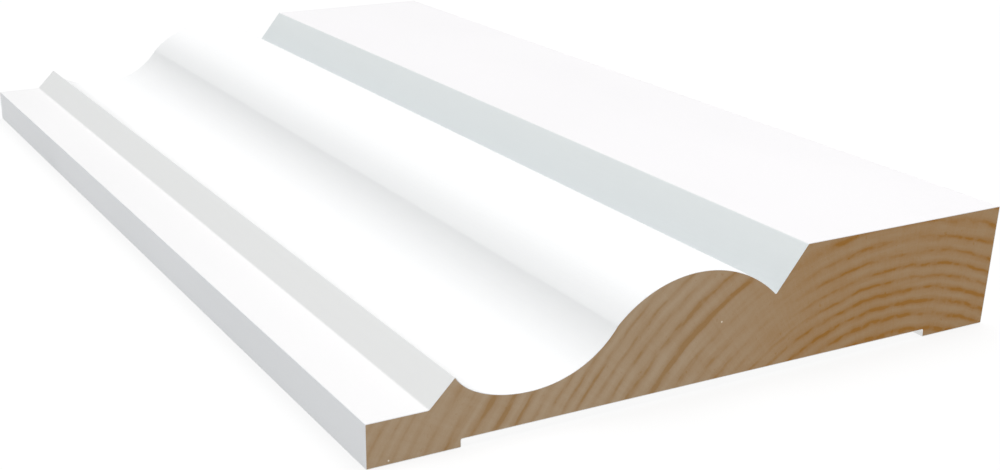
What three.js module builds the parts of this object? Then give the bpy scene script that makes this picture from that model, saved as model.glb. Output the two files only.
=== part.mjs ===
// A short length of moulded softwood skirting board, lying on its back as cut from stock.
// Its section, from the thin top edge to the thick floor edge, is a fillet, a 45 degree bevel, an ogee
// (a hollow that turns into a round), a quirk and a plain flat. A shallow groove relieves the back.
//
// Frame, in millimetres: +X runs along the board, +Y from the floor edge to the top edge, +Z out of the wall.
// The origin is the centre of the back, in the plane of the two lands that bear on the wall.

import * as THREE from "three";

// Overall size
const LENGTH = 227;
const WIDTH = 119;
const THICKNESS = 21;

// Front of the section: "at" is a distance from the top edge, "height" a distance from the wall
const TOP_EDGE_HEIGHT = 7;
const FILLET_WIDTH = 9.9;
const BEVEL_RISE = 4.25;
const HOLLOW_LOW_AT = 26.4;
const HOLLOW_LOW_HEIGHT = 6.45;
const HOLLOW_HALF_NEAR_TOP = 12.7;
const HOLLOW_HALF_NEAR_ROUND = 17.6;
const OGEE_TURN_AT = 41.5;
const ROUND_CREST_AT = 56.3;
const ROUND_CREST_HEIGHT = 19.9;
const ROUND_RADIUS = 21.1;
const QUIRK_AT = 71.35;
const FLAT_FROM = 77.35;

// Floor edge and back of the section
const FLOOR_EDGE_UNDERCUT = 1.7;
const GROOVE_FROM = 15.05;
const GROOVE_TO = 103.7;
const GROOVE_DEPTH = 1.3;

// Straight steps in each curve of the section
const CURVE_STEPS = 40;

const WHITE_PAINT = 0xf6f6f4;

// Height of the round above the wall, at a distance from the top edge.
function roundHeight(at) {
  const centreHeight = ROUND_CREST_HEIGHT - ROUND_RADIUS;
  return centreHeight + Math.sqrt(ROUND_RADIUS ** 2 - (at - ROUND_CREST_AT) ** 2);
}

// One side of the hollow is part of a quarter ellipse that is level at the hollow's lowest point.
// Given its half width and the point where it ends, this finds its half height and where it stops.
function hollowSide(halfWidth, endAt, endHeight) {
  const share = Math.abs(endAt - HOLLOW_LOW_AT) / halfWidth;
  const stop = Math.asin(share);
  const halfHeight = (endHeight - HOLLOW_LOW_HEIGHT) / (1 - Math.cos(stop));
  return { halfWidth, halfHeight, stop, centreHeight: HOLLOW_LOW_HEIGHT + halfHeight };
}

// The section's outline, with x from the top edge and y from the wall.
function sectionShape() {
  const bevelTopAt = FILLET_WIDTH + BEVEL_RISE;
  const bevelTopHeight = TOP_EDGE_HEIGHT + BEVEL_RISE;
  const down = hollowSide(HOLLOW_HALF_NEAR_TOP, bevelTopAt, bevelTopHeight);
  const up = hollowSide(HOLLOW_HALF_NEAR_ROUND, OGEE_TURN_AT, roundHeight(OGEE_TURN_AT));
  const lowest = -Math.PI / 2;
  const roundStart = Math.acos((OGEE_TURN_AT - ROUND_CREST_AT) / ROUND_RADIUS);
  const roundEnd = Math.acos((QUIRK_AT - ROUND_CREST_AT) / ROUND_RADIUS);
  const roundCentreHeight = ROUND_CREST_HEIGHT - ROUND_RADIUS;

  const shape = new THREE.Shape();
  shape.moveTo(0, 0);
  shape.lineTo(0, TOP_EDGE_HEIGHT);
  shape.lineTo(FILLET_WIDTH, TOP_EDGE_HEIGHT);
  shape.lineTo(bevelTopAt, bevelTopHeight);
  shape.absellipse(
    HOLLOW_LOW_AT, down.centreHeight, down.halfWidth, down.halfHeight, lowest - down.stop, lowest, false,
  );
  shape.absellipse(
    HOLLOW_LOW_AT, up.centreHeight, up.halfWidth, up.halfHeight, lowest, lowest + up.stop, false,
  );
  shape.absarc(ROUND_CREST_AT, roundCentreHeight, ROUND_RADIUS, roundStart, roundEnd, true);
  shape.lineTo(FLAT_FROM, THICKNESS);
  shape.lineTo(WIDTH, THICKNESS);
  shape.lineTo(WIDTH - FLOOR_EDGE_UNDERCUT, 0);
  shape.lineTo(GROOVE_TO, 0);
  shape.lineTo(GROOVE_TO, GROOVE_DEPTH);
  shape.lineTo(GROOVE_FROM, GROOVE_DEPTH);
  shape.lineTo(GROOVE_FROM, 0);
  shape.closePath();
  return shape;
}

// The whole board: its section run along the length, with both ends cut square.
function skirtingBoard() {
  const geometry = new THREE.ExtrudeGeometry(sectionShape(), {
    depth: LENGTH,
    steps: 1,
    curveSegments: CURVE_STEPS,
    bevelEnabled: false,
  });
  const paint = new THREE.MeshStandardMaterial({ color: WHITE_PAINT, roughness: 0.5, metalness: 0 });
  const board = new THREE.Mesh(geometry, paint);
  board.name = "skirting_board";
  // The section's x runs down to the floor edge, so it lies along -Y, its y along +Z and the extrusion along -X.
  board.rotation.set(Math.PI / 2, -Math.PI / 2, 0);
  board.position.set(LENGTH / 2, WIDTH / 2, 0);
  return board;
}

const part = new THREE.Group();
part.name = "skirting_board_length";
part.add(skirtingBoard());

export default part;
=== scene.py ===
import math

import bpy
import numpy as np
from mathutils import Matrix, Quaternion, Vector


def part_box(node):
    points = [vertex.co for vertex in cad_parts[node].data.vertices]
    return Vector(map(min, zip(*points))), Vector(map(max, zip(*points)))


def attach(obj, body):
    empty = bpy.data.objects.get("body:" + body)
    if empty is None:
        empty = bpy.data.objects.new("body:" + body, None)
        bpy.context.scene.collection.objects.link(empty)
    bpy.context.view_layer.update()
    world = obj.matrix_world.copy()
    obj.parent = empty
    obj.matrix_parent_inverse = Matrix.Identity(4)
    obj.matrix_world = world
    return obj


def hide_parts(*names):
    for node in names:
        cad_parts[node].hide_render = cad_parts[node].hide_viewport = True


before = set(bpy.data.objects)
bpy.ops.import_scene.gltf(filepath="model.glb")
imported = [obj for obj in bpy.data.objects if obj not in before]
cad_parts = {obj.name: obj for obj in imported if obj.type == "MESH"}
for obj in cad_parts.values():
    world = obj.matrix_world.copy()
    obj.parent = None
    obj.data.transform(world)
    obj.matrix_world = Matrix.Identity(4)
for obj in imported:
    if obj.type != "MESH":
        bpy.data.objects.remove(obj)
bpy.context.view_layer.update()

MM = 0.001
BOARD_NODE = "skirting_board"

# Finish of the mesh
CORNER_EASE = 0.2 * MM
CORNER_SUPPORT = 0.2 * MM
CORNER_STEPS = 6
CORNER_TURN = math.radians(15)
PAINT_FILM = 0.1 * MM
LENGTH_STEPS = 48
SHARP_ANGLE = math.radians(50)
TOUCHING = 0.001 * MM

# Camera, solved from the corners of the board in the 1000 x 470 photograph
CAMERA_PLACE = Vector((-295.82, 139.86, 100.91)) * MM
CAMERA_AIM = Vector((-57.65, 7.03, 10.0)) * MM
CAMERA_ROLL = math.radians(0.234)
CAMERA_LENS = 56.64
CAMERA_SENSOR = 36.0

# Studio: a soft key from overhead that leans to the floor edge, an even surround and a softly lit white floor
KEY_FROM = Vector((0.10, -0.24, 1.0))
KEY_STRENGTH = 2.35
KEY_COLOUR = (1.02, 1.0, 1.0)
KEY_SOFTNESS = math.radians(50)
SURROUND_COLOUR = (0.96, 1.0, 1.01, 1.0)
SURROUND_STRENGTH = 0.475
FLOOR_SIZE = 12.0
FLOOR_GAP = 0.02 * MM
FLOOR_ALBEDO = 0.16
FLOOR_GLOW = 0.823

# White paint, each white at its lightest. Across the front the whites carry painted light and shade: they
# are lighter on the ogee as painted light, and greyer as painted shade on the slope, on the round's side by
# the quirk, under the bevel's crest, on the fillet and on the top edge
PLAIN_WHITE = (240, 240, 239)
FLAT_WHITE = (241, 239, 240)
# Painted shade on the slope: its white greys down towards the quirk
SLOPE_TOP_PAINTED_SHADE = (237, 241, 241)
SLOPE_FOOT_PAINTED_SHADE = (225, 230, 231)
# Painted shade on the round's side down by the quirk
QUIRK_PAINTED_SHADE = (228, 228, 228)
# Painted light: the round and the hollow are whiter than the flat, to look brighter
ROUND_PAINTED_LIGHT = (252, 252, 252)
HOLLOW_PAINTED_LIGHT = (248, 248, 248)
# Painted shade on the hollow's wall under the bevel's crest
BEVEL_CREST_PAINTED_SHADE = (223, 223, 223)
# Painted shade: the fillet is a little greyer than the flat
FILLET_PAINTED_SHADE = (238, 237, 237)
# Painted shade on the thin top edge, a little darker and bluer
TOP_EDGE_PAINTED_SHADE = (234, 235, 237)
WHITE_RANGE = 3
PAINT_ROUGHNESS = (0.40, 0.52)
PAINT_RELIEF = 0.02 * MM

# Places across the board where the painted light and shade of the white change, in millimetres
SLOPE_TOP_Y = -17.85
QUIRK_Y = -11.85
ROUND_FROM_Y = -1.0
ROUND_TO_Y = 12.0
HOLLOW_FROM_Y = 16.5
HOLLOW_TO_Y = 36.5
BEVEL_CREST_Y = 45.35
BEVEL_FOOT_Y = 49.6
TOP_EDGE_Y = 59.35
FACE_BLUR = 0.15
# Heights between which the back's plain white gives way to the whites of the front
FRONT_FADE_Z = (3.0, 4.0)

# The front past its plain flat, in stretches that mostly carry painted light and shade: where each stretch
# starts, where its white has changed, and its two whites
FRONT_PAINTED_LIGHT_AND_SHADE = (
    (SLOPE_TOP_Y, QUIRK_Y, SLOPE_TOP_PAINTED_SHADE, SLOPE_FOOT_PAINTED_SHADE),
    (QUIRK_Y, ROUND_FROM_Y, QUIRK_PAINTED_SHADE, ROUND_PAINTED_LIGHT),
    (ROUND_TO_Y, HOLLOW_FROM_Y, ROUND_PAINTED_LIGHT, HOLLOW_PAINTED_LIGHT),
    (HOLLOW_TO_Y, BEVEL_CREST_Y, HOLLOW_PAINTED_LIGHT, BEVEL_CREST_PAINTED_SHADE),
    (BEVEL_CREST_Y, BEVEL_FOOT_Y, PLAIN_WHITE, PLAIN_WHITE),
    (BEVEL_FOOT_Y, TOP_EDGE_Y, FILLET_PAINTED_SHADE, FILLET_PAINTED_SHADE),
)

# Growth rings run round a pith that lies behind the wall side of the board, all distances in millimetres
PITH = (-37.5, -38.75)
RING_SPACING = 2.6
RING_START = 40.0
GROWTH_SWING = 0.4
GROWTH_CYCLE = 26.7
GROWTH_SLOWEST = 49.6
RING_WANDER = 0.4
RING_JAG = 0.6
# Towards the top edge the rings lean over, as a share of the height above a pivot
RING_LEAN = 0.16
LEAN_PIVOT_Z = 4.0
LEAN_Y = (10.0, 50.0)
# Spells of darker rings, each as its middle, half width and strength
DARK_SPELLS = ((45.5, 4.5, 0.5), (64.5, 3.5, 0.3), (63.6, 0.5, 0.8), (88.5, 3.5, 0.5))
# The rings are faint in a patch below the quirk, given by its middle, and far from the pith. For each, the
# distances over which that changes and the share of the rings that still shows
QUIET_PATCH = (-10.5, 10.0)
QUIET_FADE = (3.0, 16.0)
QUIET_SHARE = 0.35
OUTER_FADE = (94.0, 100.0)
OUTER_SHARE = 0.55
# Distances round the pith are true at this distance from it
MIDDLE_RADIUS = 65.0
# Across the board, heartwood towards the floor edge turns into sapwood towards the top edge
HEARTWOOD_FADE_Y = (-21.0, 11.0)

# Pine end grain, as pairs of heartwood and sapwood
EARLYWOOD = ((171, 140, 104), (179, 155, 127))
LATEWOOD = ((159, 110, 45), (161, 126, 84))
FLECK_COLOUR = (232, 222, 204)
FLECKS = ((-1.4, 10.8), (56.0, 0.64))
FLECK_SIZE = 0.14
WOOD_ROUGHNESS = (0.72, 0.88)
WOOD_SPECULAR = 0.25
SAWN_RELIEF = 0.05 * MM


def linear(colour):
    """A 0 to 255 screen colour as the linear colour that a shader takes."""
    share = np.array(colour) / 255
    value = np.where(share <= 0.04045, share / 12.92, ((share + 0.055) / 1.055) ** 2.4)
    return (*value.tolist(), 1.0)


# Shape of the board


def section_outline(node):
    """The section at the node's low end, as a closed ring of (y, z) points, anticlockwise seen from +X."""
    vertices = node.data.vertices
    near = min(v.co.x for v in vertices)
    edges = set()
    for polygon in node.data.polygons:
        if any(vertices[i].co.x - near > TOUCHING for i in polygon.vertices):
            continue
        ring = [(round(vertices[i].co.y, 7), round(vertices[i].co.z, 7)) for i in polygon.vertices]
        for start, end in zip(ring, ring[1:] + ring[:1]):
            if (end, start) in edges:
                edges.remove((end, start))
            else:
                edges.add((start, end))
    follows = dict(edges)
    outline = [min(follows)]
    while len(outline) < len(follows):
        outline.append(follows[outline[-1]])
    return np.array(outline[::-1])


def soften_corners(outline):
    """The outline with each sharp corner as a short curve, between two points that keep its sides flat."""
    ahead = np.roll(outline, -1, axis=0) - outline
    behind = outline - np.roll(outline, 1, axis=0)
    turn = np.arctan2(
        behind[:, 0] * ahead[:, 1] - behind[:, 1] * ahead[:, 0],
        (behind * ahead).sum(axis=1),
    )
    steps = np.hypot(ahead[:, 0], ahead[:, 1])
    perimeter = steps.sum()
    travel = np.cumsum(steps) - steps
    corners = np.abs(turn) > CORNER_TURN

    def at(distance):
        return np.array([np.interp(distance, travel, axis, period=perimeter) for axis in outline.T])

    def near_a_corner(distance):
        gap = np.abs(travel[corners] - distance)
        return np.minimum(gap, perimeter - gap).min() < CORNER_EASE + CORNER_SUPPORT

    points = []
    for point, distance, corner in zip(outline, travel, corners):
        if corner:
            before = at(distance - CORNER_EASE)
            after = at(distance + CORNER_EASE)
            points.append(at(distance - CORNER_EASE - CORNER_SUPPORT))
            for u in np.linspace(0, 1, CORNER_STEPS + 1):
                points.append((1 - u) ** 2 * before + 2 * u * (1 - u) * point + u**2 * after)
            points.append(at(distance + CORNER_EASE + CORNER_SUPPORT))
        elif not near_a_corner(distance):
            points.append(point)
    return np.array(points)


def inset(outline, depth):
    """The outline moved inwards by a depth, along the average of the normals of its sides."""
    ahead = np.roll(outline, -1, axis=0) - outline
    ahead /= np.hypot(ahead[:, 0], ahead[:, 1])[:, None]
    mean = ahead + np.roll(ahead, 1, axis=0)
    mean /= np.hypot(mean[:, 0], mean[:, 1])[:, None]
    inward = np.column_stack([-mean[:, 1], mean[:, 0]])
    return outline + depth * inward


def board_mesh(outline, low_x, high_x):
    """The closed board: the outline run along x, with a rim of paint film round the bare wood of each end."""
    count = len(outline)
    bare = inset(outline, PAINT_FILM)
    stations = np.linspace(low_x, high_x, LENGTH_STEPS + 1)
    rings = [(x, outline) for x in stations] + [(low_x, bare), (high_x, bare)]
    vertices = [(x, y, z) for x, ring in rings for y, z in ring]
    low_bare = count * len(stations)
    high_bare = low_bare + count

    def strip(first, second):
        """Quads that face out, between two rings in their order from the low end's wood to the high end's."""
        for i in range(count):
            j = (i + 1) % count
            yield (first + i, first + j, second + j, second + i)

    faces = []
    for station in range(LENGTH_STEPS):
        faces += strip(count * station, count * (station + 1))
    faces += strip(low_bare, 0)
    faces += strip(count * LENGTH_STEPS, high_bare)
    painted = len(faces)
    faces.append(range(low_bare + count - 1, low_bare - 1, -1))
    faces.append(range(high_bare, high_bare + count))

    mesh = bpy.data.meshes.new("board")
    mesh.from_pydata(vertices, [], [list(face) for face in faces])
    mesh.polygons.foreach_set("material_index", [int(i >= painted) for i in range(len(faces))])
    mesh.polygons.foreach_set("use_smooth", [True] * len(faces))
    mesh.set_sharp_from_angle(angle=SHARP_ANGLE)
    return mesh


def make_board():
    """The painted board, standing for the node of the frame that gives its section and its ends."""
    outline = soften_corners(section_outline(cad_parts[BOARD_NODE]))
    low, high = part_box(BOARD_NODE)
    mesh = board_mesh(outline, low.x, high.x)
    mesh.materials.append(white_paint())
    mesh.materials.append(pine_end_grain())
    board = bpy.data.objects.new("board", mesh)
    bpy.context.scene.collection.objects.link(board)
    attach(board, "root")
    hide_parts(BOARD_NODE)


# Patterns of the materials


class Field:
    """A number that varies over a surface, so that a pattern is written as a formula."""

    def __init__(self, tree, socket):
        self.tree = tree
        self.socket = socket

    def apply(self, operation, *others):
        node = self.tree.nodes.new("ShaderNodeMath")
        node.operation = operation
        for slot, value in zip(node.inputs, (self, *others)):
            plug(self.tree, value, slot)
        return Field(self.tree, node.outputs[0])

    def __add__(self, other):
        return self.apply("ADD", other)

    def __sub__(self, other):
        return self.apply("SUBTRACT", other)

    def __mul__(self, other):
        return self.apply("MULTIPLY", other)

    def __truediv__(self, other):
        return self.apply("DIVIDE", other)

    def ramp(self, start, end, low=0.0, high=1.0):
        """From low at start to high at end, eased at both and level beyond."""
        node = self.tree.nodes.new("ShaderNodeMapRange")
        node.interpolation_type = "SMOOTHSTEP"
        for name, value in (("From Min", start), ("From Max", end), ("To Min", low), ("To Max", high)):
            node.inputs[name].default_value = value
        plug(self.tree, self, node.inputs["Value"])
        return Field(self.tree, node.outputs["Result"])


def plug(tree, value, slot):
    """Feed a node's input with a field, another node's output or a plain value."""
    if isinstance(value, Field):
        tree.links.new(value.socket, slot)
    elif isinstance(value, bpy.types.NodeSocket):
        tree.links.new(value, slot)
    else:
        slot.default_value = value


class Surface:
    """One material: its shader, and the place on the object in millimetres that its patterns are drawn in."""

    def __init__(self, name):
        self.material = bpy.data.materials.new(name)
        self.material.use_nodes = True
        self.tree = self.material.node_tree
        self.shader = self.tree.nodes["Principled BSDF"]
        place = self.tree.nodes.new("ShaderNodeTexCoord").outputs["Object"]
        self.place = self.scaled(place, (1 / MM, 1 / MM, 1 / MM))

    def vector(self, operation, *values):
        node = self.tree.nodes.new("ShaderNodeVectorMath")
        node.operation = operation
        for slot, value in zip(node.inputs, values):
            plug(self.tree, value, slot)
        return node

    def scaled(self, place, factors):
        return self.vector("MULTIPLY", place, factors).outputs[0]

    def noise(self, place, grain, detail=2.0):
        """Smooth noise, as a value and a colour, with a grain of that many millimetres along x, y and z."""
        node = self.tree.nodes.new("ShaderNodeTexNoise")
        node.inputs["Scale"].default_value = 1.0
        node.inputs["Detail"].default_value = detail
        plug(self.tree, self.scaled(place, [1 / size for size in grain]), node.inputs["Vector"])
        return Field(self.tree, node.outputs["Fac"]), node.outputs["Color"]

    def axes(self, place):
        node = self.tree.nodes.new("ShaderNodeSeparateXYZ")
        plug(self.tree, place, node.inputs[0])
        return [Field(self.tree, socket) for socket in node.outputs]

    def combined(self, x, y, z):
        node = self.tree.nodes.new("ShaderNodeCombineXYZ")
        for value, slot in zip((x, y, z), node.inputs):
            plug(self.tree, value, slot)
        return node.outputs[0]

    def blend(self, share, first, second):
        """From the first colour to the second by a share from 0 to 1."""
        node = self.tree.nodes.new("ShaderNodeMix")
        node.data_type = "RGBA"
        plug(self.tree, share, node.inputs[0])
        plug(self.tree, first, node.inputs[6])
        plug(self.tree, second, node.inputs[7])
        return node.outputs[2]

    def random(self, value):
        """A random number from 0 to 1 for each value."""
        node = self.tree.nodes.new("ShaderNodeTexWhiteNoise")
        node.noise_dimensions = "1D"
        plug(self.tree, value, node.inputs["W"])
        return Field(self.tree, node.outputs["Value"])

    def relief(self, height, depth):
        """Bump of that depth in metres, from a height between 0 and 1."""
        node = self.tree.nodes.new("ShaderNodeBump")
        node.inputs["Distance"].default_value = depth
        plug(self.tree, height, node.inputs["Height"])
        plug(self.tree, node.outputs["Normal"], self.shader.inputs["Normal"])

    def finish(self, **inputs):
        for name, value in inputs.items():
            plug(self.tree, value, self.shader.inputs[name.replace("_", " ")])
        return self.material


def white_paint():
    """Sprayed satin paint, with a fine orange peel and the wood's long grain just showing through it."""
    paint = Surface("white_paint")
    cloud, _ = paint.noise(paint.place, (60, 25, 25))
    grain, _ = paint.noise(paint.place, (45, 0.7, 0.7), detail=3.0)
    peel, _ = paint.noise(paint.place, (1.1, 0.9, 0.9))
    tone = cloud * 0.7 + grain * 0.3

    _, y, z = paint.axes(paint.place)

    def white(colour):
        return paint.blend(tone, linear(colour), linear([value - WHITE_RANGE for value in colour]))

    def past(edge):
        return y.ramp(edge - FACE_BLUR, edge + FACE_BLUR)

    # Painted light on the ogee and painted shade on the slope, by the quirk, under the crest and on the
    # fillet
    front_painted_shading = white(FLAT_WHITE)
    for start, changed, first, last in FRONT_PAINTED_LIGHT_AND_SHADE:
        painted_shading_stretch = paint.blend(y.ramp(start, changed), white(first), white(last))
        front_painted_shading = paint.blend(past(start), front_painted_shading, painted_shading_stretch)
    colour = paint.blend(z.ramp(*FRONT_FADE_Z), white(PLAIN_WHITE), front_painted_shading)
    paint.relief(grain * 0.5 + peel * 0.5, PAINT_RELIEF)
    # The top edge's greyer white is painted shade
    return paint.finish(
        Base_Color=paint.blend(past(TOP_EDGE_Y), colour, white(TOP_EDGE_PAINTED_SHADE)),
        Roughness=(peel * 0.4 + cloud * 0.6).ramp(0.25, 0.75, *PAINT_ROUGHNESS),
    )


def distance_from(place, y, z):
    """How far a point of an end, at y and z, lies from a place."""
    across = y - place[0]
    up = z - place[1]
    return (across * across + up * up).apply("SQRT")


def around_the_pith(wood):
    """Places on an end as x, distance round the pith and distance from it, and that last one by itself."""
    _, wander = wood.noise(wood.place, (40, 14, 14))
    shift = wood.vector("SUBTRACT", wander, (0.5, 0.5, 0.5)).outputs[0]
    bend = wood.scaled(shift, (0, 2 * RING_WANDER, 2 * RING_WANDER))
    x, y, z = wood.axes(wood.vector("ADD", wood.place, bend).outputs[0])
    lean = (z - LEAN_PIVOT_Z) * y.ramp(*LEAN_Y) * RING_LEAN
    radius = distance_from(PITH, y, z) + lean
    angle = (y - PITH[0]).apply("ARCTAN2", z - PITH[1])
    return wood.combined(x, angle * MIDDLE_RADIUS, radius), radius


def late_wood(wood, around, radius):
    """The dark line of each ring, from 0 to 1: soft, a little broken, and darker in some spells of years."""
    jag, _ = wood.noise(around, (20, 3, 5), detail=0.5)
    distance = radius + (jag - 0.5) * RING_JAG
    season = (distance - GROWTH_SLOWEST) * (math.tau / GROWTH_CYCLE)
    years = (distance - RING_START) / RING_SPACING + season.apply("SINE") * GROWTH_SWING + 0.5
    share = years.apply("FRACT")
    halo = share.ramp(0.0, 0.48) * share.ramp(0.52, 1.0, 1.0, 0.0)
    core = share.ramp(0.27, 0.49) * share.ramp(0.51, 0.70, 1.0, 0.0)
    patch, _ = wood.noise(around, (30, 12, 3), detail=1.0)
    dash, _ = wood.noise(around, (30, 2.5, 1.0), detail=1.0)
    line = halo * 0.48 + core * dash.ramp(0.35, 0.65, 0.15, 0.75)

    strength = wood.random(years.apply("FLOOR")).ramp(0, 1, 0.45, 0.65)
    for middle, half_width, gain in DARK_SPELLS:
        strength = strength + (radius - middle).apply("ABSOLUTE").ramp(0, 2 * half_width, gain, 0.0)
    _, y, z = wood.axes(wood.place)
    by_quirk = distance_from(QUIET_PATCH, y, z).ramp(*QUIET_FADE, QUIET_SHARE, 1.0)
    far_out = radius.ramp(*OUTER_FADE, 1.0, OUTER_SHARE)
    return line * strength * (by_quirk * far_out) * patch.ramp(0.35, 0.62, 0.5, 1.0)


def with_flecks(wood, colour):
    """The colour with small pale specks on it."""
    _, y, z = wood.axes(wood.place)
    for place in FLECKS:
        speck = distance_from(place, y, z).ramp(0.6 * FLECK_SIZE, 1.4 * FLECK_SIZE, 1.0, 0.0)
        colour = wood.blend(speck, colour, linear(FLECK_COLOUR))
    return colour


def pine_end_grain():
    """Sawn end grain: growth rings round the pith, fine rays across them, and heartwood by the floor edge."""
    wood = Surface("pine_end_grain")
    _, y, _ = wood.axes(wood.place)
    around, radius = around_the_pith(wood)
    latewood = late_wood(wood, around, radius)
    rays, _ = wood.noise(around, (30, 0.6, 6))
    streaks, _ = wood.noise(around, (30, 9, 0.9))
    mottle, _ = wood.noise(wood.place, (30, 4, 4), detail=3.0)
    canals, _ = wood.noise(wood.place, (9, 0.8, 0.8))
    cells, _ = wood.noise(wood.place, (4, 0.22, 0.22), detail=3.0)
    sapwood = y.ramp(*HEARTWOOD_FADE_Y)
    early = wood.blend(sapwood, *[linear(colour) for colour in EARLYWOOD])
    late = wood.blend(sapwood, *[linear(colour) for colour in LATEWOOD])
    fine_marks = canals.ramp(0.66, 0.82) * 0.4 + (rays - 0.5) * 0.3 + (cells - 0.5) * 0.25
    broad_marks = (streaks - 0.5) * 0.6 + (mottle - 0.5) * 0.4
    grain = wood.blend(latewood * 1.25 + fine_marks + broad_marks + 0.12, early, late)
    wood.relief(latewood * 0.5 + cells * 0.5, SAWN_RELIEF)
    return wood.finish(
        Base_Color=with_flecks(wood, grain),
        Roughness=cells.ramp(0.3, 0.7, *WOOD_ROUGHNESS),
        Specular_IOR_Level=WOOD_SPECULAR,
    )


# Studio


def make_floor():
    """A plain white floor that glows a little, so that the shadow under the board stays light."""
    half = FLOOR_SIZE / 2
    corners = [(x * half, y * half, -FLOOR_GAP) for x, y in ((-1, -1), (1, -1), (1, 1), (-1, 1))]
    mesh = bpy.data.meshes.new("floor")
    mesh.from_pydata(corners, [], [(0, 1, 2, 3)])
    material = bpy.data.materials.new("floor_white")
    material.use_nodes = True
    shader = material.node_tree.nodes["Principled BSDF"]
    shader.inputs["Base Color"].default_value = (FLOOR_ALBEDO, FLOOR_ALBEDO, FLOOR_ALBEDO, 1)
    shader.inputs["Specular IOR Level"].default_value = 0.0
    shader.inputs["Emission Color"].default_value = (1, 1, 1, 1)
    shader.inputs["Emission Strength"].default_value = FLOOR_GLOW
    mesh.materials.append(material)
    floor = bpy.data.objects.new("floor", mesh)
    bpy.context.scene.collection.objects.link(floor)


def make_lights():
    """An even surround and one wide key light."""
    world = bpy.data.worlds.new("surround")
    world.use_nodes = True
    background = world.node_tree.nodes["Background"]
    background.inputs["Color"].default_value = SURROUND_COLOUR
    background.inputs["Strength"].default_value = SURROUND_STRENGTH
    bpy.context.scene.world = world
    light = bpy.data.lights.new("key", "SUN")
    light.energy = KEY_STRENGTH
    light.color = KEY_COLOUR
    light.angle = KEY_SOFTNESS
    key = bpy.data.objects.new("key", light)
    key.location = KEY_FROM
    key.rotation_mode = "QUATERNION"
    key.rotation_quaternion = (-KEY_FROM).to_track_quat("-Z", "Y")
    bpy.context.scene.collection.objects.link(key)


def make_camera():
    """The photograph's camera, with its slight roll and no shift."""
    lens = bpy.data.cameras.new("camera")
    lens.sensor_fit = "HORIZONTAL"
    lens.sensor_width = CAMERA_SENSOR
    lens.lens = CAMERA_LENS
    lens.clip_start = 1 * MM
    camera = bpy.data.objects.new("camera", lens)
    camera.location = CAMERA_PLACE
    aim = (CAMERA_AIM - CAMERA_PLACE).to_track_quat("-Z", "Y")
    camera.rotation_mode = "QUATERNION"
    camera.rotation_quaternion = aim @ Quaternion((0, 0, 1), CAMERA_ROLL)
    bpy.context.scene.collection.objects.link(camera)
    bpy.context.scene.camera = camera


make_camera()
make_lights()
make_floor()
make_board()
bpy.context.scene.view_settings.view_transform = "Standard"
